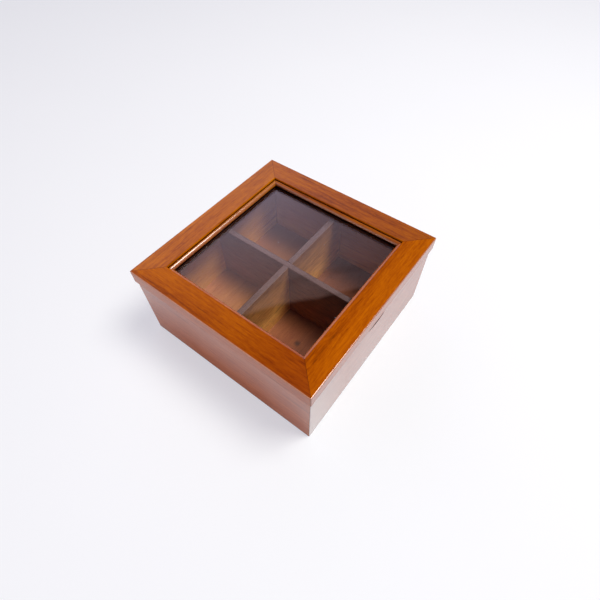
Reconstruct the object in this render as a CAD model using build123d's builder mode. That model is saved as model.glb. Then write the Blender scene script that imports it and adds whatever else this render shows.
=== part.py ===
from build123d import *
import math
import os

# A square wooden tea box with four compartments and a hinged, glazed lid.
# Frame: origin on the table at the centre of the box, +Z up, front (finger scoop) at -Y.
# Every board is first made standing at the front and is then turned about Z to its own side.

# ---- Driving dimensions, millimetres ----
# Box
BODY_SIZE = 163.0           # outer width and depth of the four walls
BODY_HEIGHT = 63.5          # table to rim
WALL = 8.0
CORNER_ROUND = 1.0          # outer vertical arrises, eased by sanding
FOOT_ROUND = 0.5            # outer lower arrises
# Bottom board, held in a groove all round
BOTTOM_THICK = 3.0
BOTTOM_LIFT = 4.0           # table to the underside of the board
GROOVE_DEPTH = 3.5
GROOVE_PLAY = 0.25          # left at the foot of the groove for the board to swell
# Dividers
DIVIDER_THICK = 5.0
DIVIDER_DROP = 1.0          # how far the dividers stop below the rim
DADO_DEPTH = 2.0
DIVIDER_ROUND = 0.8         # upper arrises
# Finger scoop: a spherical hollow in the upper arris of the front wall
SCOOP_WIDTH = 40.0          # along the arris
SCOOP_DROP = 8.0            # down the front face
SCOOP_CUT = 4.5             # into the rim
# Lid frame
LID_SIZE = 165.5
LID_THICK = 12.0
LID_FLAT = 19.4             # flat face of a rail, outer arris to quirk
QUIRK_DROP = 1.7
QUIRK_ROUND = 0.8           # inner arris of the flat, over the quirk
OVOLO_RADIUS = 2.9          # quarter round that falls from the quirk to the glass opening
LID_ROUND = 0.8             # upper outer arris
LID_UNDER_ROUND = 0.4       # lower outer arris
GLASS_BELOW_TOP = 6.3       # lid top to the upper face of the glass
# Glass and the strips that hold it up in its rabbet
GLASS_THICK = 2.0
GLASS_PLAY = 0.25
RABBET_WIDTH = 5.0
STRIP_WIDTH = 4.6
BRAD_THICK = 0.9            # square in section
BRAD_GRIP = 4.0             # length driven into the rail
BRAD_SPACING = 76.0
# Hinges: two mortised butt hinges whose squared knuckles stop the lid
HINGE_OFFSET = 45.0         # centre of each hinge from the centre of the box
LEAF_LENGTH = 25.0
LEAF_THICK = 0.8
LEAF_SUNK = 0.1             # leaf face below the face of the wood
LEAF_FRONT = 75.8           # front edge of the leaves, from the centre of the box
KNUCKLE_RADIUS = 1.1
KNUCKLE_CLEAR = 0.1         # between a barrel and the edge that turns past it
KNUCKLE_GAP = 0.1           # between neighbouring knuckles
STOP_ANGLE = 95.0           # degrees of opening at which the squared heels meet the leaves
STOP_CLEAR = 0.02
PIN_RADIUS = 0.55
PIN_CLEAR = 0.03
PIN_HEAD_RADIUS = 0.85
PIN_HEAD_THICK = 0.4
# Hinge screws
SCREW_OFFSET = 7.5
SCREW_FROM_CENTRE = 78.6    # screw line, from the centre of the box
SCREW_HEAD_RADIUS = 1.5
SCREW_SHANK_RADIUS = 0.7
SCREW_LENGTH = 7.5
SCREW_POINT = 1.6
SCREW_SLOT = 0.4
SCREW_CLEAR = 0.02

# ---- Worked out from them ----
HALF_SCOOP = SCOOP_WIDTH / 2
SCOOP_RISE = (HALF_SCOOP**2 - SCOOP_DROP**2) / (2 * SCOOP_DROP)     # sphere's centre above the rim
SCOOP_STAND_OFF = (HALF_SCOOP**2 - SCOOP_CUT**2) / (2 * SCOOP_CUT)  # and in front of the face
SCOOP_RADIUS = math.hypot(HALF_SCOOP, SCOOP_RISE, SCOOP_STAND_OFF)
HALF_BODY = BODY_SIZE / 2
HALF_INSIDE = HALF_BODY - WALL
FLOOR_TOP = BOTTOM_LIFT + BOTTOM_THICK
DIVIDER_TOP = BODY_HEIGHT - DIVIDER_DROP
DIVIDER_HEIGHT = DIVIDER_TOP - FLOOR_TOP
DIVIDER_LENGTH = 2 * (HALF_INSIDE + DADO_DEPTH)
LID_BASE = BODY_HEIGHT
LID_TOP = BODY_HEIGHT + LID_THICK
HALF_LID = LID_SIZE / 2
HALF_OPENING = HALF_LID - LID_FLAT - OVOLO_RADIUS
HALF_RABBET = HALF_OPENING + RABBET_WIDTH
HALF_STRIP_FACE = HALF_RABBET - STRIP_WIDTH
GLASS_TOP = LID_TOP - GLASS_BELOW_TOP
STRIP_TOP = GLASS_TOP - GLASS_THICK
STRIP_THICK = STRIP_TOP - LID_BASE
STRIP_MIDDLE = LID_BASE + STRIP_THICK / 2
LEAF_DEPTH = LEAF_THICK + LEAF_SUNK
PIVOT_REACH = KNUCKLE_RADIUS + KNUCKLE_CLEAR    # lid's back edge to the pin's axis
PIVOT_Y = HALF_LID + PIVOT_REACH
PIVOT_Z = BODY_HEIGHT
SIDE_TURNS = {"front": 0, "right": 90, "back": 180, "left": 270}


os.makedirs("parts", exist_ok=True)


# ---- Boards of the box ----
def wall_blank():
    """A mitred wall at the front: groove for the bottom, dado for the divider that ends on it."""
    with BuildPart() as wall:
        with BuildSketch():
            with BuildLine():
                Polyline(
                    (-HALF_BODY, -HALF_BODY),
                    (HALF_BODY, -HALF_BODY),
                    (HALF_INSIDE, -HALF_INSIDE),
                    (-HALF_INSIDE, -HALF_INSIDE),
                    close=True,
                )
            make_face()
        extrude(amount=BODY_HEIGHT)
        foot_arris = wall.edges().group_by(Axis.Z)[0].sort_by(Axis.Y)[0]
        fillet(foot_arris, radius=FOOT_ROUND)
        with BuildSketch():
            RectangleRounded(BODY_SIZE, BODY_SIZE, CORNER_ROUND)
        extrude(amount=BODY_HEIGHT, mode=Mode.INTERSECT)
        with BuildSketch(Plane.XY.offset(BOTTOM_LIFT)):
            Rectangle(2 * (HALF_INSIDE + GROOVE_DEPTH), 2 * (HALF_INSIDE + GROOVE_DEPTH))
        extrude(amount=BOTTOM_THICK, mode=Mode.SUBTRACT)
        with BuildSketch(Plane.XY.offset(FLOOR_TOP)):
            with Locations((0, -HALF_INSIDE - DADO_DEPTH / 2)):
                Rectangle(DIVIDER_THICK, DADO_DEPTH)
        extrude(amount=BODY_HEIGHT - FLOOR_TOP, mode=Mode.SUBTRACT)
    return wall.part


def screw_places(x_centre):
    """The two screws of a leaf, at the back of the box."""
    return [(x_centre - SCREW_OFFSET, SCREW_FROM_CENTRE), (x_centre + SCREW_OFFSET, SCREW_FROM_CENTRE)]


# The front wall has a scoop that lets a fingertip in under the edge of the lid.
with BuildPart() as front_wall:
    add(wall_blank(), rotation=(0, 0, SIDE_TURNS["front"]))
    with Locations((0, -HALF_BODY - SCOOP_STAND_OFF, BODY_HEIGHT + SCOOP_RISE)):
        Sphere(SCOOP_RADIUS, mode=Mode.SUBTRACT)
front_wall.part.label = "front_wall"
export_step(front_wall.part, "parts/front_wall.step")

with BuildPart() as right_wall:
    add(wall_blank(), rotation=(0, 0, SIDE_TURNS["right"]))
right_wall.part.label = "right_wall"
export_step(right_wall.part, "parts/right_wall.step")

with BuildPart() as left_wall:
    add(wall_blank(), rotation=(0, 0, SIDE_TURNS["left"]))
left_wall.part.label = "left_wall"
export_step(left_wall.part, "parts/left_wall.step")

# The back wall has a mortise in its rim for each hinge leaf, open at the back, and screw holes.
with BuildPart() as back_wall:
    add(wall_blank(), rotation=(0, 0, SIDE_TURNS["back"]))
    for hinge_x in (-HINGE_OFFSET, HINGE_OFFSET):
        with BuildSketch(Plane.XY.offset(BODY_HEIGHT - LEAF_DEPTH)):
            with Locations((hinge_x, LEAF_FRONT)):
                Rectangle(LEAF_LENGTH, WALL, align=(Align.CENTER, Align.MIN))
        extrude(amount=LEAF_DEPTH, mode=Mode.SUBTRACT)
        with BuildSketch(Plane.XY.offset(BODY_HEIGHT - LEAF_DEPTH)):
            with Locations(*screw_places(hinge_x)):
                Circle(SCREW_SHANK_RADIUS + SCREW_CLEAR)
        extrude(amount=-SCREW_LENGTH, mode=Mode.SUBTRACT)
back_wall.part.label = "back_wall"
export_step(back_wall.part, "parts/back_wall.step")

with BuildPart() as bottom_board:
    board_side = 2 * (HALF_INSIDE + GROOVE_DEPTH - GROOVE_PLAY)
    with BuildSketch(Plane.XY.offset(BOTTOM_LIFT)):
        Rectangle(board_side, board_side)
    extrude(amount=BOTTOM_THICK)
bottom_board.part.label = "bottom_board"
export_step(bottom_board.part, "parts/bottom_board.step")


def divider(slot_from_top):
    """A divider along X, with half of the cross lap cut from above or from below."""
    with BuildPart() as board:
        with BuildSketch(Plane.XY.offset(FLOOR_TOP)):
            Rectangle(DIVIDER_LENGTH, DIVIDER_THICK)
        extrude(amount=DIVIDER_HEIGHT)
        fillet(board.edges().group_by(Axis.Z)[-1].filter_by(Axis.X), radius=DIVIDER_ROUND)
        slot_base = FLOOR_TOP + DIVIDER_HEIGHT / 2 if slot_from_top else FLOOR_TOP
        with BuildSketch(Plane.XY.offset(slot_base)):
            Rectangle(DIVIDER_THICK, DIVIDER_THICK)
        extrude(amount=DIVIDER_HEIGHT / 2, mode=Mode.SUBTRACT)
    return board.part


with BuildPart() as cross_divider:
    add(divider(slot_from_top=True))
cross_divider.part.label = "cross_divider"
export_step(cross_divider.part, "parts/cross_divider.step")

with BuildPart() as long_divider:
    add(divider(slot_from_top=False), rotation=(0, 0, 90))
long_divider.part.label = "long_divider"
export_step(long_divider.part, "parts/long_divider.step")


# ---- Lid frame ----
def rail_blank():
    """A mitred lid rail at the front: flat, quirk, ovolo, and a rabbet for the glass below."""
    with BuildPart() as rail:
        with BuildSketch(Plane.YZ):
            with BuildLine():
                Polyline(
                    (-HALF_LID + LID_FLAT, LID_TOP - QUIRK_DROP),
                    (-HALF_LID + LID_FLAT, LID_TOP),
                    (-HALF_LID, LID_TOP),
                    (-HALF_LID, LID_BASE),
                    (-HALF_RABBET, LID_BASE),
                    (-HALF_RABBET, GLASS_TOP),
                    (-HALF_OPENING, GLASS_TOP),
                    (-HALF_OPENING, LID_TOP - QUIRK_DROP - OVOLO_RADIUS),
                )
                RadiusArc(
                    (-HALF_OPENING, LID_TOP - QUIRK_DROP - OVOLO_RADIUS),
                    (-HALF_LID + LID_FLAT, LID_TOP - QUIRK_DROP),
                    -OVOLO_RADIUS,
                )
            make_face()
        extrude(amount=HALF_LID, both=True)
        outer_arrises = rail.edges().filter_by(Axis.X).group_by(Axis.Y)[0].sort_by(Axis.Z)
        fillet(outer_arrises[-1], radius=LID_ROUND)
        fillet(outer_arrises[0], radius=LID_UNDER_ROUND)
        flat_edges = rail.edges().filter_by(Axis.X).group_by(Axis.Z)[-1].sort_by(Axis.Y)
        fillet(flat_edges[-1], radius=QUIRK_ROUND)
        with BuildSketch(Plane.XY.offset(LID_BASE)):
            with BuildLine():
                Polyline((-HALF_LID, -HALF_LID), (HALF_LID, -HALF_LID), (0, 0), close=True)
            make_face()
        extrude(amount=LID_THICK, mode=Mode.INTERSECT)
        with BuildSketch(Plane.XY.offset(LID_BASE)):
            RectangleRounded(LID_SIZE, LID_SIZE, CORNER_ROUND)
        extrude(amount=LID_THICK, mode=Mode.INTERSECT)
        with BuildSketch(Plane.XZ.offset(HALF_RABBET)):
            with Locations((-BRAD_SPACING / 2, STRIP_MIDDLE), (BRAD_SPACING / 2, STRIP_MIDDLE)):
                Rectangle(BRAD_THICK, BRAD_THICK)
        extrude(amount=BRAD_GRIP, mode=Mode.SUBTRACT)
    return rail.part


with BuildPart() as lid_front_rail:
    add(rail_blank(), rotation=(0, 0, SIDE_TURNS["front"]))
lid_front_rail.part.label = "lid_front_rail"
export_step(lid_front_rail.part, "parts/lid_front_rail.step")

with BuildPart() as lid_right_rail:
    add(rail_blank(), rotation=(0, 0, SIDE_TURNS["right"]))
lid_right_rail.part.label = "lid_right_rail"
export_step(lid_right_rail.part, "parts/lid_right_rail.step")

with BuildPart() as lid_left_rail:
    add(rail_blank(), rotation=(0, 0, SIDE_TURNS["left"]))
lid_left_rail.part.label = "lid_left_rail"
export_step(lid_left_rail.part, "parts/lid_left_rail.step")

# The back rail takes the upper leaves in its underside.
with BuildPart() as lid_back_rail:
    add(rail_blank(), rotation=(0, 0, SIDE_TURNS["back"]))
    for hinge_x in (-HINGE_OFFSET, HINGE_OFFSET):
        with BuildSketch(Plane.XY.offset(LID_BASE)):
            with Locations((hinge_x, LEAF_FRONT)):
                Rectangle(LEAF_LENGTH, WALL, align=(Align.CENTER, Align.MIN))
        extrude(amount=LEAF_DEPTH, mode=Mode.SUBTRACT)
        with BuildSketch(Plane.XY.offset(LID_BASE + LEAF_DEPTH)):
            with Locations(*screw_places(hinge_x)):
                Circle(SCREW_SHANK_RADIUS + SCREW_CLEAR)
        extrude(amount=SCREW_LENGTH, mode=Mode.SUBTRACT)
lid_back_rail.part.label = "lid_back_rail"
export_step(lid_back_rail.part, "parts/lid_back_rail.step")

with BuildPart() as glass_pane:
    pane_side = 2 * (HALF_RABBET - GLASS_PLAY)
    with BuildSketch(Plane.XY.offset(STRIP_TOP)):
        Rectangle(pane_side, pane_side)
    extrude(amount=GLASS_THICK)
glass_pane.part.label = "glass_pane"
export_step(glass_pane.part, "parts/glass_pane.step")


def strip_blank():
    """A mitred strip under the glass at the front, pierced by its two brads."""
    with BuildPart() as strip:
        with BuildSketch(Plane.XY.offset(LID_BASE)):
            with BuildLine():
                Polyline(
                    (-HALF_RABBET, -HALF_RABBET),
                    (HALF_RABBET, -HALF_RABBET),
                    (HALF_STRIP_FACE, -HALF_STRIP_FACE),
                    (-HALF_STRIP_FACE, -HALF_STRIP_FACE),
                    close=True,
                )
            make_face()
        extrude(amount=STRIP_THICK)
        with BuildSketch(Plane.XZ.offset(HALF_STRIP_FACE)):
            with Locations((-BRAD_SPACING / 2, STRIP_MIDDLE), (BRAD_SPACING / 2, STRIP_MIDDLE)):
                Rectangle(BRAD_THICK, BRAD_THICK)
        extrude(amount=STRIP_WIDTH, mode=Mode.SUBTRACT)
    return strip.part


for side, turn in SIDE_TURNS.items():
    with BuildPart() as glazing_strip:
        add(strip_blank(), rotation=(0, 0, turn))
    glazing_strip.part.label = f"glazing_strip_{side}"
    export_step(glazing_strip.part, f"parts/glazing_strip_{side}.step")

# Two headless cut brads a side, driven level through the strips into the rails.
with BuildPart() as glazing_brads:
    for turn in SIDE_TURNS.values():
        for brad_x in (-BRAD_SPACING / 2, BRAD_SPACING / 2):
            strip_face = Plane(
                origin=Vector(brad_x, -HALF_STRIP_FACE, STRIP_MIDDLE).rotate(Axis.Z, turn),
                z_dir=Vector(0, -1, 0).rotate(Axis.Z, turn),
            )
            with BuildSketch(strip_face):
                Rectangle(BRAD_THICK, BRAD_THICK)
            extrude(amount=STRIP_WIDTH + BRAD_GRIP)
glazing_brads.part.label = "glazing_brads"
export_step(glazing_brads.part, "parts/glazing_brads.step")


# ---- Hinges ----
def hinge_leaf(barrels):
    """A leaf lying forward of the pin's axis and just under it, seen with X along the pin.

    barrels holds the start and end of each knuckle along the pin. A knuckle's upper rear
    quarter is squared into a heel, whose flat top meets the other leaf at the stop angle.
    """
    leaf_width = PIVOT_Y - LEAF_FRONT
    stop_tilt = math.radians(STOP_ANGLE - 90)
    flat_height = PIVOT_REACH - STOP_CLEAR
    heel_front = flat_height / math.cos(stop_tilt)
    heel_back = (flat_height - KNUCKLE_RADIUS * math.sin(stop_tilt)) / math.cos(stop_tilt)
    with BuildPart() as leaf:
        with BuildSketch(Plane.XY.offset(-LEAF_SUNK)):
            with Locations((0, -leaf_width)):
                Rectangle(LEAF_LENGTH, leaf_width - PIVOT_REACH, align=(Align.CENTER, Align.MIN))
        extrude(amount=-LEAF_THICK)
        for start, end in barrels:
            with BuildSketch(Plane.YZ.offset(start)):
                Circle(KNUCKLE_RADIUS)
                with BuildLine():
                    Polyline(
                        (0, 0),
                        (0, heel_front),
                        (KNUCKLE_RADIUS, heel_back),
                        (KNUCKLE_RADIUS, 0),
                        close=True,
                    )
                make_face()
                with Locations((-PIVOT_REACH, -LEAF_SUNK)):
                    Rectangle(PIVOT_REACH, LEAF_THICK, align=(Align.MIN, Align.MAX))
                Circle(PIN_RADIUS + PIN_CLEAR, mode=Mode.SUBTRACT)
            extrude(amount=end - start)
        screw_line = SCREW_FROM_CENTRE - PIVOT_Y
        with Locations((-SCREW_OFFSET, screw_line, -LEAF_SUNK), (SCREW_OFFSET, screw_line, -LEAF_SUNK)):
            CounterSinkHole(
                radius=SCREW_SHANK_RADIUS + SCREW_CLEAR,
                counter_sink_radius=SCREW_HEAD_RADIUS,
                depth=LEAF_THICK,
                counter_sink_angle=90,
            )
    return leaf.part


def screw():
    """A countersunk slotted screw, head up, with the middle of its head face at the origin."""
    head_radius = SCREW_HEAD_RADIUS - SCREW_CLEAR
    with BuildPart() as blank:
        with BuildSketch(Plane.XZ):
            with BuildLine():
                Polyline(
                    (0, 0),
                    (head_radius, 0),
                    (SCREW_SHANK_RADIUS, SCREW_SHANK_RADIUS - head_radius),
                    (SCREW_SHANK_RADIUS, SCREW_POINT - SCREW_LENGTH),
                    (0, -SCREW_LENGTH),
                    close=True,
                )
            make_face()
        revolve(axis=Axis.Z)
        with BuildSketch():
            Rectangle(2 * SCREW_HEAD_RADIUS, SCREW_SLOT)
        extrude(amount=-SCREW_SLOT, mode=Mode.SUBTRACT)
    return blank.part


third = LEAF_LENGTH / 3
half_gap = KNUCKLE_GAP / 2
outer_barrels = [
    (-LEAF_LENGTH / 2, -third / 2 - half_gap),
    (third / 2 + half_gap, LEAF_LENGTH / 2),
]
middle_barrel = [(-third / 2 + half_gap, third / 2 - half_gap)]

for side, hinge_x in (("left", -HINGE_OFFSET), ("right", HINGE_OFFSET)):
    # The lower leaf has the two outer knuckles.
    with BuildPart() as box_leaf:
        with Locations((hinge_x, PIVOT_Y, PIVOT_Z)):
            add(hinge_leaf(outer_barrels))
    box_leaf.part.label = f"{side}_hinge_box_leaf"
    export_step(box_leaf.part, f"parts/{side}_hinge_box_leaf.step")

    # The upper leaf is the same form upside down, with the middle knuckle.
    with BuildPart() as lid_leaf:
        with Locations((hinge_x, PIVOT_Y, PIVOT_Z)):
            add(hinge_leaf(middle_barrel).mirror(Plane.XY))
    lid_leaf.part.label = f"{side}_hinge_lid_leaf"
    export_step(lid_leaf.part, f"parts/{side}_hinge_lid_leaf.step")

    # The pin is headed over at both ends.
    with BuildPart() as pin:
        pin_start = Plane(origin=(hinge_x - LEAF_LENGTH / 2, PIVOT_Y, PIVOT_Z), z_dir=(1, 0, 0))
        pin_end = pin_start.offset(LEAF_LENGTH)
        with BuildSketch(pin_start):
            Circle(PIN_RADIUS)
        extrude(amount=LEAF_LENGTH)
        with BuildSketch(pin_start):
            Circle(PIN_HEAD_RADIUS)
        extrude(amount=-PIN_HEAD_THICK)
        with BuildSketch(pin_end):
            Circle(PIN_HEAD_RADIUS)
        extrude(amount=PIN_HEAD_THICK)
    pin.part.label = f"{side}_hinge_pin"
    export_step(pin.part, f"parts/{side}_hinge_pin.step")

screw_spots = screw_places(-HINGE_OFFSET) + screw_places(HINGE_OFFSET)

with BuildPart() as box_hinge_screws:
    with Locations(*[(x, y, PIVOT_Z - LEAF_SUNK) for x, y in screw_spots]):
        add(screw())
box_hinge_screws.part.label = "box_hinge_screws"
export_step(box_hinge_screws.part, "parts/box_hinge_screws.step")

with BuildPart() as lid_hinge_screws:
    with Locations(*[(x, y, PIVOT_Z + LEAF_SUNK) for x, y in screw_spots]):
        add(screw().mirror(Plane.XY))
lid_hinge_screws.part.label = "lid_hinge_screws"
export_step(lid_hinge_screws.part, "parts/lid_hinge_screws.step")
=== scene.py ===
import math
from typing import NamedTuple

import bpy
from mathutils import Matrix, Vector


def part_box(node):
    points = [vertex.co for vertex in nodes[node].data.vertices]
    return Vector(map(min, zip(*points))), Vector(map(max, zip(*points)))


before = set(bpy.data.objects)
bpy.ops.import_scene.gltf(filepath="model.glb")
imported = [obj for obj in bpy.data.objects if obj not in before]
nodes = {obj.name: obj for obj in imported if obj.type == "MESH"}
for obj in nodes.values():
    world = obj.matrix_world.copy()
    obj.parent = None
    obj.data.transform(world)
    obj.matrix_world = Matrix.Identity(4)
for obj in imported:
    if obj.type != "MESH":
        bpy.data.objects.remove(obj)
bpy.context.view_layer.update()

# ---- Sizes that the finishes follow, from the frame and the real profile ----
MM = 0.001
LID_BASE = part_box("lid_front_rail")[0].z
LID_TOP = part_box("lid_front_rail")[1].z
HALF_LID = -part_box("lid_front_rail")[0].y
HALF_BODY = -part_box("front_wall")[0].y
HALF_INSIDE = -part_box("front_wall")[1].y
FLOOR_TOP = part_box("bottom_board")[1].z
RAIL_FLAT = 19.4 * MM           # flat of a lid rail, from its outer arris to the quirk
QUIRK_DROP = 1.7 * MM
OVOLO = 2.9 * MM
QUIRK_ROUND = 0.8 * MM          # inner arris of the flat
LID_ROUND = 0.8 * MM            # upper outer arris
HALF_QUIRK = HALF_LID - RAIL_FLAT
HALF_OPENING = HALF_QUIRK - OVOLO
SCOOP_RADIUS = 51.21 * MM       # sphere that the finger scoop in the front wall is part of
SCOOP_OUT = 42.19 * MM          # its centre, out from the wall
SCOOP_UP = 21.0 * MM            # and up from the wall's rim
SCOOP_CENTRE = (0.0, -HALF_BODY - SCOOP_OUT, LID_BASE + SCOOP_UP)


def srgb(red, green, blue):
    """A colour as a picture gives it, 0 to 255 a channel, in Blender's linear values."""
    def linear(value):
        share = value / 255
        return share / 12.92 if share <= 0.04045 else ((share + 0.055) / 1.055) ** 2.4
    return (linear(red), linear(green), linear(blue), 1.0)


# ---- Node trees ----
class Graph:
    """Adds nodes to a node tree and links them. A value may be a number, a colour or an output."""

    def __init__(self, tree):
        self.tree = tree
        tree.nodes.clear()

    def node(self, kind, inputs=None, **settings):
        made = self.tree.nodes.new(kind)
        for name, value in settings.items():
            setattr(made, name, value)
        for name, value in (inputs or {}).items():
            if isinstance(value, bpy.types.NodeSocket):
                self.tree.links.new(value, made.inputs[name])
            else:
                made.inputs[name].default_value = value
        return made

    def math(self, operation, *values):
        return self.node("ShaderNodeMath", dict(enumerate(values)), operation=operation).outputs[0]

    def range(self, value, low, high, to_low=0.0, to_high=1.0):
        """value carried from low..high to to_low..to_high, and held at those ends."""
        inputs = {"Value": value, "From Min": low, "From Max": high, "To Min": to_low, "To Max": to_high}
        return self.node("ShaderNodeMapRange", inputs).outputs[0]

    def band(self, value, centre, half_width, soft):
        """1 within half_width of centre, falling to 0 over soft."""
        distance = self.math("ABSOLUTE", self.math("SUBTRACT", value, centre))
        return self.range(distance, half_width, half_width + soft, 1.0, 0.0)

    def mix(self, factor, first, second, blend="MIX"):
        made = self.node("ShaderNodeMix", data_type="RGBA", blend_type=blend)
        for name, value in (("Factor_Float", factor), ("A_Color", first), ("B_Color", second)):
            socket = next(s for s in made.inputs if s.identifier == name)
            if isinstance(value, bpy.types.NodeSocket):
                self.tree.links.new(value, socket)
            else:
                socket.default_value = value
        return next(s for s in made.outputs if s.identifier == "Result_Color")

    def ramp(self, factor, *stops):
        made = self.node("ShaderNodeValToRGB", {"Fac": factor})
        elements = made.color_ramp.elements
        while len(elements) < len(stops):
            elements.new(0.5)
        for element, (position, colour) in zip(elements, stops):
            element.position = position
            element.color = colour
        return made.outputs["Color"]

    def noise(self, vector, scale, detail=2.0, roughness=0.5, distortion=0.0):
        inputs = {"Vector": vector, "Scale": scale, "Detail": detail}
        inputs |= {"Roughness": roughness, "Distortion": distortion}
        return self.node("ShaderNodeTexNoise", inputs).outputs["Fac"]

    def stretched(self, vector, scale, turn=0.0, shift=(0.0, 0.0, 0.0)):
        """vector shifted, turned about Z and then scaled."""
        inputs = {"Vector": vector, "Location": shift, "Rotation": (0.0, 0.0, turn), "Scale": (1, 1, 1)}
        turned = self.node("ShaderNodeMapping", inputs).outputs[0]
        return self.node("ShaderNodeMapping", {"Vector": turned, "Scale": scale}).outputs[0]


def material(name):
    made = bpy.data.materials.new(name)
    made.use_nodes = True
    return made, Graph(made.node_tree)


def finish_surface(graph, shader):
    graph.node("ShaderNodeOutputMaterial", {"Surface": shader.outputs[0]})


def paint(node_name, made):
    slots = nodes[node_name].data.materials
    slots.clear()
    slots.append(made)


# ---- Wood ----
ALONG_X = 0.0                   # turn of a board whose grain runs left to right
ALONG_Y = math.radians(90)      # and of one whose grain runs front to back


class Place:
    """Where the shading point lies in the box, in the measures that its parts are laid out by."""

    def __init__(self, graph):
        coordinates = graph.node("ShaderNodeTexCoord").outputs
        self.point = coordinates["Object"]
        parts = graph.node("ShaderNodeSeparateXYZ", {"Vector": self.point}).outputs
        across_x = graph.math("ABSOLUTE", parts["X"])
        across_y = graph.math("ABSOLUTE", parts["Y"])
        self.from_middle = graph.math("MAXIMUM", across_x, across_y)
        self.off_mitre = graph.math("ABSOLUTE", graph.math("SUBTRACT", across_x, across_y))
        self.along_x = parts["X"]
        self.along_y = parts["Y"]
        self.height = parts["Z"]
        facing = graph.node("ShaderNodeSeparateXYZ", {"Vector": coordinates["Normal"]}).outputs
        self.facing_up = facing["Z"]


def tinted(colour, red, green, blue):
    """colour with each of its channels taken times a share."""
    return (colour[0] * red, colour[1] * green, colour[2] * blue, 1.0)


def shaded(colour, share):
    return tinted(colour, share, share, share)


def stained(graph, place, turn, seed, tone, contrast):
    """Stain over a board's figure, round one tone. Gives the colour and the figure, about 0 to 1.

    Dark grain is redder than the tone and pale grain more golden, as where the stain lies thinner.
    """
    shift = (0.37 * seed, 0.11 * seed, 0.053 * seed)
    lie = graph.stretched(place.point, (1, 1, 1), turn, shift)
    broad = graph.noise(graph.stretched(lie, (9, 60, 60)), 1.0, 2.0)
    streaks = graph.noise(graph.stretched(lie, (22, 430, 430)), 1.0, 3.0, 0.62, 0.6)
    fibres = graph.noise(graph.stretched(lie, (150, 1000, 1000)), 1.0, 3.0, 0.65, 0.3)
    pores = graph.noise(graph.stretched(lie, (230, 3600, 3600)), 1.0, 1.0)
    figure = graph.math("MULTIPLY_ADD", broad, 0.34, graph.math("MULTIPLY", streaks, 0.3))
    figure = graph.math("MULTIPLY_ADD", fibres, 0.36, figure)
    step = 0.13 / contrast
    colour = graph.ramp(
        figure,
        (0.5 - 1.3 * step, tinted(tone, 0.56, 0.46, 0.46)),
        (0.5 - 0.4 * step, tinted(tone, 0.88, 0.82, 0.82)),
        (0.5 + 0.3 * step, tinted(tone, 1.05, 1.1, 1.1)),
        (0.5 + 1.2 * step, tinted(tone, 1.26, 1.45, 1.4)),
    )
    marked = min(1.0, contrast)
    line = graph.range(streaks, 0.38, 0.29)
    colour = graph.mix(graph.math("MULTIPLY", line, 0.5 * marked), colour, shaded(tone, 0.4))
    pore = graph.range(pores, 0.66, 0.74)
    colour = graph.mix(graph.math("MULTIPLY", pore, 0.4 * marked), colour, shaded(tone, 0.45))
    return colour, figure


BEAD_SHINE = 0.075              # most light that the moulding mirrors, seen straight on
LID_CONTRAST = 1.5              # of a lid rail's figure
RIM_CONTRAST = 0.8              # of the figure on its outer face
RIM_SEED = 50                   # added to a rail's seed, so that its outer face has a figure of its own
# pale colour of a lid rail's upper outer arris: rubbed-off stain, and a painted highlight
ARRIS_WEAR_AND_HIGHLIGHT = srgb(196, 134, 96)
BARE_CHIP = srgb(226, 200, 168)
WALL_CONTRAST = 0.7
INSIDE_TONE = srgb(214, 150, 82)
INSIDE_CONTRAST = 0.8
# the glazing strips' dark colour is painted shade, as they lie in shade under the moulding
STRIP_SHADE_TONE = srgb(58, 22, 10)


class Side(NamedTuple):
    """How one side of the box is finished, its lid rail and the wall below it."""
    turn: float                 # the grain's direction
    lid_tones: tuple            # at the rail's front or left end, and at its other end
    flat_shine: float           # light that the rail's flat mirrors, seen straight on
    rim_shine: float            # share of the coat on the rail's outer face. What is past 1 is metallic
    arris_wear_and_highlight: float                 # how far the stain is rubbed off the rail's upper outer arris, which is also a painted highlight
    wall_tone: tuple            # of the wall and of the rail's outer face
    coat_ior: float             # index of the varnish on both
    wall_coats: tuple           # share of the coat at the wall's foot and at its rim
    wall_specular: float        # gloss of the wall's wood under the coat


def mirrored(ior):
    """Light that a smooth coat of this index mirrors, seen straight on."""
    return ((ior - 1) / (ior + 1)) ** 2


def worn_and_lit_arris(g, place, colour, rim, arris_wear_and_highlight):
    """colour with the stain rubbed and chipped off a lid rail's upper outer arris, painted pale partly as
    a highlight.
    """
    arris = g.math("MULTIPLY", g.range(place.facing_up, 0.98, 0.85), g.range(place.facing_up, 0.25, 0.5))
    arris = g.math("MULTIPLY", arris, rim)
    rubbed = g.range(g.noise(place.point, 60.0, 2.0), 0.3, 0.6, 0.85 * arris_wear_and_highlight, arris_wear_and_highlight)
    colour = g.mix(g.math("MULTIPLY", arris, rubbed), colour, ARRIS_WEAR_AND_HIGHLIGHT)
    chips = g.range(g.noise(place.point, 240.0, 1.0), 0.765, 0.78)
    return g.mix(g.math("MULTIPLY", arris, chips), colour, BARE_CHIP)


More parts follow.
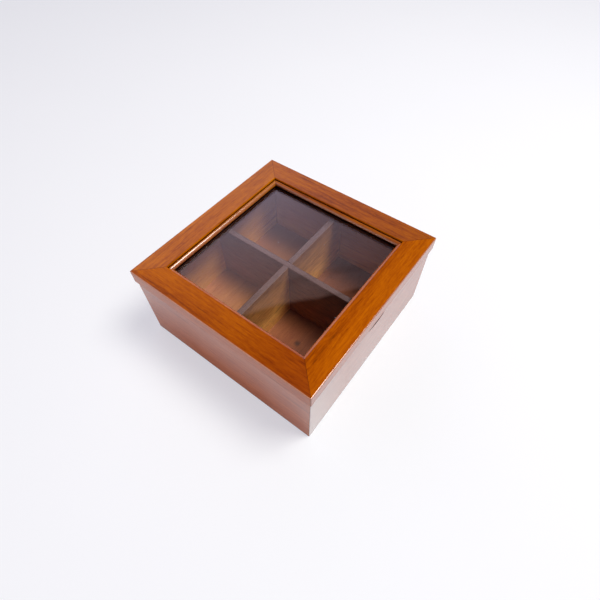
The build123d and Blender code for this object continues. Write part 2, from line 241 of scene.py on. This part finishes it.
def joint_and_shade_lines(g, place, colour):
    """colour with dark stain in a lid rail's mitres and painted shade in its quirk, foot and seam. Gives
    foot and seam too.
    """
    mitre = g.range(place.off_mitre, 0.1 * MM, 0.45 * MM, 0.6, 0.0)
    colour = g.mix(mitre, colour, srgb(70, 22, 4))
    # painted shade in the quirk's crease
    crease_shade = g.range(place.height, LID_TOP - 0.8 * QUIRK_DROP, LID_TOP - 0.5 * QUIRK_DROP, 1.0, 0.0)
    quirk = g.math("MULTIPLY", crease_shade, g.band(place.from_middle, HALF_QUIRK, 0.2 * MM, 0.15 * MM))
    colour = g.mix(quirk, colour, srgb(30, 5, 2))
    # painted shade along the foot of the moulding, above the glass
    foot_height = LID_TOP - QUIRK_DROP - OVOLO
    foot = g.math("MULTIPLY", g.range(place.height, foot_height, foot_height + 0.4 * MM, 1.0, 0.0),
                  g.range(place.from_middle, HALF_OPENING + 0.2 * MM, HALF_OPENING + 0.6 * MM, 1.0, 0.0))
    colour = g.mix(foot, colour, srgb(20, 4, 2))
    # painted shade along the lid's lower edge, over its seam with the wall
    seam = g.math("MULTIPLY", g.range(place.height, LID_BASE + 0.25 * MM, LID_BASE + 0.5 * MM, 1.0, 0.0),
                  g.range(place.from_middle, HALF_BODY, HALF_BODY + 0.3 * MM))
    return g.mix(seam, colour, srgb(30, 12, 8)), foot, seam


def lid_wood(node_name, seed, side):
    """Orange-brown stain under satin varnish, glossier on the moulding and the outer face.

    The outer face has the tone of the wall below it.
    """
    made, g = material(f"lid_wood_{node_name}")
    place = Place(g)
    colour, figure = stained(g, place, side.turn, seed, side.lid_tones[0], LID_CONTRAST)
    far_colour, _ = stained(g, place, side.turn, seed, side.lid_tones[1], LID_CONTRAST)
    along = place.along_x if side.turn == ALONG_X else place.along_y
    drift = g.math("ADD", along, g.range(g.noise(place.point, 14.0, 2.0), 0.0, 1.0, -0.05, 0.05))
    colour = g.mix(g.range(drift, -0.8 * HALF_LID, 0.8 * HALF_LID), colour, far_colour)
    rim = g.range(place.from_middle, HALF_LID - LID_ROUND, HALF_LID - 0.6 * LID_ROUND)
    outer_face = g.math("MULTIPLY", rim, g.range(place.facing_up, 0.7, 0.3))
    rim_colour, _ = stained(g, place, side.turn, seed + RIM_SEED, side.wall_tone, RIM_CONTRAST)
    colour = g.mix(outer_face, colour, rim_colour)
    colour = worn_and_lit_arris(g, place, colour, rim, side.arris_wear_and_highlight)
    colour, foot, seam = joint_and_shade_lines(g, place, colour)
    bead = g.range(place.from_middle, HALF_QUIRK + 0.1 * MM, HALF_QUIRK - 0.1 * MM)
    brushed = g.math("MULTIPLY", bead, g.noise(place.point, 5200.0, 1.0))
    relief = g.math("MULTIPLY_ADD", brushed, 9.0, figure)
    bump = g.node("ShaderNodeBump", {"Strength": 0.15, "Distance": 0.04 * MM, "Height": relief})
    inner_arris = g.band(place.from_middle, HALF_QUIRK + QUIRK_ROUND / 2, QUIRK_ROUND / 2, 0.1 * MM)
    dull = g.math("MAXIMUM", g.math("MAXIMUM", foot, seam), inner_arris)
    flat_coat = min(1.0, side.flat_shine / mirrored(side.coat_ior))
    bead_coat = min(1.0, BEAD_SHINE / mirrored(side.coat_ior))
    coat = g.range(bead, 0.0, 1.0, flat_coat, bead_coat)
    coat = g.range(rim, 0.0, 1.0, coat, min(1.0, side.rim_shine))
    coat = g.math("MULTIPLY", g.math("SUBTRACT", 1.0, dull), coat)
    mirror = g.math("MULTIPLY", outer_face, side.rim_shine - 1.0) if side.rim_shine > 1.0 else 0.0
    shader = g.node("ShaderNodeBsdfPrincipled", {
        "Base Color": colour, "Roughness": g.range(figure, 0.35, 0.65, 0.5, 0.4), "Metallic": mirror,
        "Normal": bump.outputs[0], "Specular IOR Level": 0.0,
        "Coat Weight": coat, "Coat Roughness": 0.24, "Coat IOR": side.coat_ior,
    })
    finish_surface(g, shader)
    paint(node_name, made)


def darker_upwards(graph, place, colour):
    """Darker towards the top of the box and lighter towards the floor."""
    level = graph.range(place.height, FLOOR_TOP, LID_BASE)
    level = graph.math("ADD", level, graph.range(graph.noise(place.point, 60.0, 2.0), 0.0, 1.0, -0.1, 0.1))
    # a darkening that grows towards the top
    stain = graph.ramp(level, (0.15, (1, 1, 1, 1)), (0.42, (0.72, 0.65, 0.62, 1)),
                       (0.75, (0.5, 0.43, 0.41, 1)), (0.98, (0.24, 0.18, 0.17, 1)))
    return graph.mix(1.0, colour, stain, "MULTIPLY")


def finger_scoop(g, place):
    """1 on the hollow in the front wall's rim, which is part of a sphere."""
    inputs = {0: place.point, 1: SCOOP_CENTRE}
    from_centre = g.node("ShaderNodeVectorMath", inputs, operation="DISTANCE").outputs["Value"]
    return g.range(from_centre, SCOOP_RADIUS + 0.03 * MM, SCOOP_RADIUS + 0.1 * MM, 1.0, 0.0)


def wall_wood(node_name, seed, side):
    """The same stain on the walls, under glossier varnish. Inside, thinner stain and no varnish."""
    made, g = material(f"wall_wood_{node_name}")
    place = Place(g)
    colour, figure = stained(g, place, side.turn, seed, side.wall_tone, WALL_CONTRAST)
    inside_colour, _ = stained(g, place, side.turn, seed, INSIDE_TONE, INSIDE_CONTRAST)
    inside_colour = darker_upwards(g, place, inside_colour)
    outside = g.range(place.from_middle, HALF_INSIDE + 1 * MM, HALF_INSIDE + 2 * MM)
    colour = g.mix(outside, inside_colour, colour)
    mitre = g.range(place.off_mitre, 0.1 * MM, 0.4 * MM, 0.6, 0.0)
    colour = g.mix(mitre, colour, srgb(60, 20, 8))
    # painted shade along the wall's foot, where it meets the floor
    foot = g.range(place.height, 0.3 * MM, 0.9 * MM, 0.75, 0.0)
    colour = g.mix(foot, colour, srgb(36, 16, 10))
    shine = g.range(place.height, 12 * MM, 58 * MM, *side.wall_coats)
    if node_name == "left_wall":
        off_centre = g.math("ABSOLUTE", place.along_y)
        shine = g.math("ADD", shine, g.range(off_centre, 35 * MM, HALF_BODY, 0.0, 0.3))
    if node_name == "front_wall":
        shine = g.math("SUBTRACT", shine, g.range(place.along_x, 0.0, HALF_BODY, 0.0, 0.2))
        # painted reflection of the pale floor, towards the front wall's left end
        painted_sheen = g.math("MULTIPLY", outside, g.range(place.along_x, -35 * MM, -HALF_BODY, 0.0, 0.7))
        colour = g.mix(painted_sheen, colour, srgb(222, 206, 202))
    shine = g.math("MINIMUM", shine, 1.0)
    coat = g.math("MULTIPLY", outside, g.math("MULTIPLY", shine, g.math("SUBTRACT", 1.0, foot)))
    if node_name == "front_wall":
        scoop = finger_scoop(g, place)
        # painted shade: the finger scoop is coloured dark, as it lies in shade under the lid
        colour = g.mix(scoop, colour, srgb(84, 42, 26))
        coat = g.math("MULTIPLY", coat, g.math("SUBTRACT", 1.0, scoop))
    bump = g.node("ShaderNodeBump", {"Strength": 0.1, "Distance": 0.04 * MM, "Height": figure})
    shader = g.node("ShaderNodeBsdfPrincipled", {
        "Base Color": colour, "Roughness": g.range(figure, 0.35, 0.65, 0.42, 0.34),
        "Normal": bump.outputs[0], "Specular IOR Level": side.wall_specular,
        "Coat Weight": coat, "Coat Roughness": 0.1, "Coat IOR": side.coat_ior,
    })
    finish_surface(g, shader)
    paint(node_name, made)


def divider_wood(node_name, turn, seed, tone):
    """Pale sawn wood, lighter towards the floor. Only its top edge is dark and varnished."""
    made, g = material(f"divider_wood_{node_name}")
    place = Place(g)
    colour, figure = stained(g, place, turn, seed, tone, 0.9)
    sawn = g.noise(g.stretched(place.point, (130, 130, 700)), 1.0, 3.0, 0.6)
    colour = g.mix(g.range(sawn, 0.52, 0.36, 0.0, 0.55), colour, shaded(tone, 0.35))
    colour = darker_upwards(g, place, colour)
    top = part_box(node_name)[1].z
    edge = g.range(place.height, top - 0.5 * MM, top - 0.1 * MM)
    colour = g.mix(edge, colour, srgb(78, 50, 46))
    edge_coat = g.range(place.facing_up, 0.985, 0.998)
    bump = g.node("ShaderNodeBump", {"Strength": 0.5, "Distance": 0.08 * MM, "Height": sawn})
    shader = g.node("ShaderNodeBsdfPrincipled", {
        "Base Color": colour, "Roughness": g.range(figure, 0.35, 0.65, 0.62, 0.5),
        "Normal": bump.outputs[0], "Coat Weight": edge_coat, "Coat Roughness": 0.18, "Coat IOR": 1.5,
    })
    finish_surface(g, shader)
    paint(node_name, made)


def bare_wood(node_name, turn, seed, tone, contrast, lit_back_tone=None, knots=()):
    """Stained wood without varnish. knots are places of small dark knots, x and y.

    The tone given for the back of the box, where it isn't the same, is the lighter one: towards the front
    the board is darker as painted shade. Such a board is also darker to the right, as painted shade.
    """
    made, g = material(f"wood_{node_name}")
    place = Place(g)
    colour, figure = stained(g, place, turn, seed, tone, contrast)
    if lit_back_tone:
        lit_back_colour, _ = stained(g, place, turn, seed, lit_back_tone, contrast)
        colour = g.mix(g.range(place.along_y, -20 * MM, 30 * MM), colour, lit_back_colour)
        # painted shade, darker to the right
        colour = g.mix(g.range(place.along_x, -30 * MM, 30 * MM, 0.0, 0.4), colour, shaded(tone, 0.3))
    for x, y in knots:
        centre = (x, y, FLOOR_TOP)
        away = g.node("ShaderNodeVectorMath", {0: place.point, 1: centre}, operation="DISTANCE")
        away = g.math("ADD", away.outputs["Value"], g.range(figure, 0.3, 0.7, -0.8 * MM, 0.8 * MM))
        colour = g.mix(g.range(away, 1.0 * MM, 3.6 * MM, 0.75, 0.0), colour, srgb(46, 20, 12))
    bump = g.node("ShaderNodeBump", {"Strength": 0.4, "Distance": 0.06 * MM, "Height": figure})
    shader = g.node("ShaderNodeBsdfPrincipled", {
        "Base Color": colour, "Roughness": g.range(figure, 0.35, 0.65, 0.6, 0.5),
        "Normal": bump.outputs[0],
    })
    finish_surface(g, shader)
    paint(node_name, made)


def glass():
    """Clear pane with a few specks of dust. Lamps and the room light the inside through it."""
    made, g = material("glass")
    place = g.node("ShaderNodeTexCoord").outputs["Object"]
    cells = g.node("ShaderNodeTexVoronoi", {"Vector": place, "Scale": 95.0}).outputs
    chosen = g.node("ShaderNodeSeparateXYZ", {"Vector": cells["Color"]}).outputs["X"]
    specks = g.math("MULTIPLY", g.range(cells["Distance"], 0.045, 0.03), g.range(chosen, 0.8, 0.85))
    smears = g.range(g.noise(place, 30.0, 3.0), 0.3, 0.8, 0.0, 0.004)
    pane = g.node("ShaderNodeBsdfPrincipled", {
        "Base Color": g.mix(specks, srgb(244, 250, 248), srgb(215, 215, 212)),
        "Roughness": g.math("MAXIMUM", smears, g.math("MULTIPLY", specks, 0.5)), "IOR": 1.5,
        "Transmission Weight": g.range(specks, 0.0, 1.0, 1.0, 0.3),
    })
    clear = g.node("ShaderNodeBsdfTransparent")
    rays = g.node("ShaderNodeLightPath").outputs
    light = g.math("MAXIMUM", rays["Is Shadow Ray"], rays["Is Diffuse Ray"])
    shader = g.node("ShaderNodeMixShader", {0: light, 1: pane.outputs[0], 2: clear.outputs[0]})
    finish_surface(g, shader)
    paint("glass_pane", made)


def metal(name, node_names, bright, dull, seed):
    """Brushed metal with patches of tarnish, which are duller in colour and rougher."""
    made, g = material(name)
    place = g.node("ShaderNodeTexCoord").outputs["Object"]
    tarnish = g.noise(g.stretched(place, (1, 1, 1), 0.0, (seed, 0, 0)), 260.0, 3.0, 0.6)
    brushed = g.noise(g.stretched(place, (60, 3000, 3000)), 1.0, 2.0)
    bump = g.node("ShaderNodeBump", {"Strength": 0.1, "Distance": 0.02 * MM, "Height": brushed})
    shader = g.node("ShaderNodeBsdfPrincipled", {
        "Base Color": g.mix(g.range(tarnish, 0.4, 0.7), bright, dull), "Metallic": 1.0,
        "Roughness": g.range(tarnish, 0.3, 0.7, 0.24, 0.42), "Normal": bump.outputs[0],
    })
    finish_surface(g, shader)
    for node_name in node_names:
        paint(node_name, made)


SIDES = {
    "front": Side(turn=ALONG_X, lid_tones=(srgb(157, 75, 0), srgb(153, 74, 2)), flat_shine=0.005,
                  rim_shine=1.45, arris_wear_and_highlight=0.3, wall_tone=srgb(176, 84, 40), coat_ior=2.4,
                  wall_coats=(0.92, 0.92), wall_specular=0.25),
    "right": Side(turn=ALONG_Y, lid_tones=(srgb(137, 66, 0), srgb(148, 74, 0)), flat_shine=0.03,
                  rim_shine=0.9, arris_wear_and_highlight=0.5, wall_tone=srgb(170, 78, 28), coat_ior=1.8,
                  wall_coats=(0.6, 0.9), wall_specular=0.0),
    "back": Side(turn=ALONG_X, lid_tones=(srgb(165, 86, 0), srgb(158, 84, 0)), flat_shine=0.03,
                 rim_shine=0.9, arris_wear_and_highlight=0.5, wall_tone=srgb(170, 78, 28), coat_ior=1.8,
                 wall_coats=(0.6, 0.9), wall_specular=0.0),
    "left": Side(turn=ALONG_Y, lid_tones=(srgb(132, 55, 0), srgb(163, 81, 0)), flat_shine=0.014,
                 rim_shine=0.8, arris_wear_and_highlight=0.9, wall_tone=srgb(199, 109, 64), coat_ior=1.7,
                 wall_coats=(0.2, 0.9), wall_specular=0.0),
}
LID_SEED, WALL_SEED, STRIP_SEED = 1, 11, 41     # each the first of four
for index, (side_name, side) in enumerate(SIDES.items()):
    lid_wood(f"lid_{side_name}_rail", LID_SEED + index, side)
    wall_wood(f"{side_name}_wall", WALL_SEED + index, side)
    bare_wood(f"glazing_strip_{side_name}", side.turn, STRIP_SEED + index, STRIP_SHADE_TONE, contrast=0.8)
divider_wood("cross_divider", ALONG_X, seed=21, tone=srgb(238, 168, 88))
# darker than the cross divider's wood, partly as painted shade: the faces seen on it turn from the key
divider_wood("long_divider", ALONG_Y, seed=22, tone=srgb(150, 92, 60))
# its front tone, darker than the one at the back, is painted shade
bare_wood("bottom_board", ALONG_X, seed=31, tone=srgb(141, 72, 35), contrast=0.7,
          lit_back_tone=srgb(184, 116, 70), knots=[(-27 * MM, -29 * MM)])
glass()
HINGE_NODES = [f"{hand}_hinge_{part}" for hand in ("left", "right")
               for part in ("box_leaf", "lid_leaf", "pin")]
metal("hinge_brass", HINGE_NODES, srgb(214, 172, 92), srgb(150, 110, 54), 1.0)
metal("screw_brass", ["box_hinge_screws", "lid_hinge_screws"], srgb(206, 164, 88), srgb(140, 102, 50), 2.0)
metal("brad_steel", ["glazing_brads"], srgb(176, 176, 178), srgb(120, 118, 116), 3.0)


# ---- Floor, lights and camera ----
FLOOR_SIDE = 4.0
FLOOR_TONES = (srgb(163, 165, 164), srgb(166, 168, 167))
FLOOR_GLOW = srgb(245, 247, 255)
FLOOR_LIFT = 0.58               # strength of the glow, which whitens the floor and lights nothing
CAMERA_PLACE = (-0.1630, -0.1365, 0.3129)
CAMERA_TURN = (35.524, 0.293, -52.961)          # degrees
LENS, SENSOR_WIDTH = 25.13, 36.0                # millimetres


def is_view_ray(graph):
    rays = graph.node("ShaderNodeLightPath").outputs
    seen = graph.math("MAXIMUM", rays["Is Camera Ray"], rays["Is Glossy Ray"])
    return graph.math("MAXIMUM", seen, rays["Is Transmission Ray"])


def floor():
    """Pale ground that keeps the box's shadow."""
    mesh = bpy.data.meshes.new("floor")
    half = FLOOR_SIDE / 2
    corners = [(-half, -half, 0.0), (half, -half, 0.0), (half, half, 0.0), (-half, half, 0.0)]
    mesh.from_pydata(corners, [], [(0, 1, 2, 3)])
    ground = bpy.data.objects.new("floor", mesh)
    bpy.context.scene.collection.objects.link(ground)
    made, g = material("floor_white")
    place = g.node("ShaderNodeTexCoord").outputs["Object"]
    tint = g.mix(g.noise(place, 6.0, 2.0), *FLOOR_TONES)
    lit = g.node("ShaderNodeBsdfDiffuse", {"Color": tint})
    lift = g.math("MULTIPLY", is_view_ray(g), FLOOR_LIFT)
    glow = g.node("ShaderNodeEmission", {"Color": FLOOR_GLOW, "Strength": lift})
    shader = g.node("ShaderNodeAddShader", {0: lit.outputs[0], 1: glow.outputs[0]})
    finish_surface(g, shader)
    mesh.materials.append(made)


PALE_TOP = 54.5                 # degrees above the horizon at which the pale walls are dimmest
PALE_FULL = 38.0                # and below which they are at their palest
PALE_MIDDLE = 85.0              # degrees from +X towards +Y: the middle of the palest wall
PALE_STOPS = ((41.0, 1.0), (81.0, 0.0), (100.0, 0.0), (140.0, 0.25))    # degrees off it, brightness
EDGE_AZIMUTHS = (24.5, 33.0, 51.0)      # degrees along the pale wall's upper edge
EDGE_HEIGHTS = (52.2, 54.15, 55.75)     # degrees above the horizon that it reaches there
EDGE_SOFT = 0.3                         # and half of what it fades over
SWEEP_FULL, SWEEP_TOP = 18.0, 35.0      # degrees of the white backdrop that glossy faces mirror
BAR_LEVEL, BAR_SLOPE = 45.2, 0.173      # height at azimuth 0 and slope of a thin dark bar on that wall
BAR_HALF, BAR_SOFT = 0.3, 0.4           # half its width, and what it fades over
BAR_LIGHT = 0.8                         # share of the wall's light that it has
UPPER_WALL, LOWER_WALL = (0.85, 0.52, 0.46, 1.0), (1.47, 1.25, 1.66, 1.0)
CEILING = (0.02, 0.018, 0.02, 1.0)
BACKDROP = (0.95, 0.93, 0.97, 1.0)
DIFFUSE_SHARE = 0.6             # of the room's light that rough surfaces gather


def studio():
    """White to the camera. To the object, pale walls under a dark ceiling, which the glass mirrors.

    Glossy faces also mirror the white backdrop all round, low down, where it meets the floor. Rough
    surfaces gather less light from the room than glossy ones mirror.
    """
    world = bpy.data.worlds.new("studio")
    bpy.context.scene.world = world
    world.use_nodes = True
    g = Graph(world.node_tree)
    direction = g.node("ShaderNodeTexCoord").outputs["Generated"]
    parts = g.node("ShaderNodeSeparateXYZ", {"Vector": direction}).outputs
    elevation = g.math("DEGREES", g.math("ARCSINE", parts["Z"]))
    azimuth = g.math("DEGREES", g.math("ARCTAN2", parts["Y"], parts["X"]))
    off_middle = g.math("ABSOLUTE", g.math("SUBTRACT", azimuth, PALE_MIDDLE))
    off_middle = g.math("MINIMUM", off_middle, g.math("SUBTRACT", 360.0, off_middle))
    round_room = g.ramp(g.math("DIVIDE", off_middle, 180.0),
                        *((off / 180.0, (light, light, light, 1.0)) for off, light in PALE_STOPS))
    start, knee, end = EDGE_AZIMUTHS
    low, middle, high = EDGE_HEIGHTS
    first_rise = g.range(azimuth, start, knee, low, middle)
    second_rise = g.range(azimuth, knee, end, 0.0, high - middle)
    below_top = g.math("SUBTRACT", g.math("ADD", first_rise, second_rise), elevation)
    wall = g.math("MULTIPLY", round_room, g.range(below_top, -EDGE_SOFT, EDGE_SOFT))
    above_bar = g.math("SUBTRACT", elevation, g.math("MULTIPLY_ADD", azimuth, BAR_SLOPE, BAR_LEVEL))
    bar = g.band(above_bar, 0.0, BAR_HALF, BAR_SOFT)
    wall = g.math("MULTIPLY", wall, g.range(bar, 0.0, 1.0, 1.0, BAR_LIGHT))
    pale = g.mix(g.range(elevation, PALE_TOP, PALE_FULL), UPPER_WALL, LOWER_WALL)
    tint = g.mix(wall, CEILING, pale)
    rays = g.node("ShaderNodeLightPath").outputs
    sweep = g.math("MULTIPLY", rays["Is Glossy Ray"], g.range(elevation, SWEEP_TOP, SWEEP_FULL))
    tint = g.mix(sweep, tint, BACKDROP)
    strength = g.range(rays["Is Diffuse Ray"], 0.0, 1.0, 1.0, DIFFUSE_SHARE)
    seen = g.node("ShaderNodeBackground", {"Color": tint, "Strength": strength})
    white = g.node("ShaderNodeBackground", {"Color": (1, 1, 1, 1), "Strength": 1.0})
    shader = g.node("ShaderNodeMixShader", {0: rays["Is Camera Ray"], 1: seen.outputs[0],
                                            2: white.outputs[0]})
    g.node("ShaderNodeOutputWorld", {"Surface": shader.outputs[0]})


def area_light(name, place, aim, width, height, power, colour=(1.0, 1.0, 1.0)):
    lamp = bpy.data.lights.new(name, "AREA")
    lamp.shape = "RECTANGLE"
    lamp.size = width
    lamp.size_y = height
    lamp.energy = power
    lamp.color = colour
    made = bpy.data.objects.new(name, lamp)
    bpy.context.scene.collection.objects.link(made)
    made.location = place
    made.rotation_mode = "QUATERNION"
    made.rotation_quaternion = (Vector(aim) - Vector(place)).to_track_quat("-Z", "Y")
    return made


def keep_off_glass(lamp):
    """The pane mirrors the room alone. Seen from above, the lamp would be a white patch in it."""
    unlit = bpy.data.collections.new(f"not_lit_by_{lamp.name}")
    unlit.objects.link(nodes["glass_pane"])
    unlit.collection_objects[0].light_linking.link_state = "EXCLUDE"
    lamp.light_linking.receiver_collection = unlit


def lamps():
    """A soft key, high on the right and in front, and a weak fill, low on the left."""
    key = area_light("key", place=(0.31, -0.44, 1.22), aim=(0, 0, 0.03), width=0.55, height=0.55,
                     power=18.5, colour=(1.0, 0.97, 0.92))
    keep_off_glass(key)
    area_light("left_fill", place=(-1.3, 0.1, 0.12), aim=(0, 0, 0.04), width=1.6, height=0.16, power=3.0)


def camera():
    """Stands where the photograph was taken from, worked out from the box's corners."""
    lens = bpy.data.cameras.new("camera")
    lens.sensor_width = SENSOR_WIDTH
    lens.lens = LENS
    lens.clip_start = 0.01
    made = bpy.data.objects.new("camera", lens)
    bpy.context.scene.collection.objects.link(made)
    made.location = CAMERA_PLACE
    made.rotation_euler = [math.radians(angle) for angle in CAMERA_TURN]
    bpy.context.scene.camera = made


floor()
studio()
lamps()
camera()
bpy.context.scene.view_settings.view_transform = "Standard"
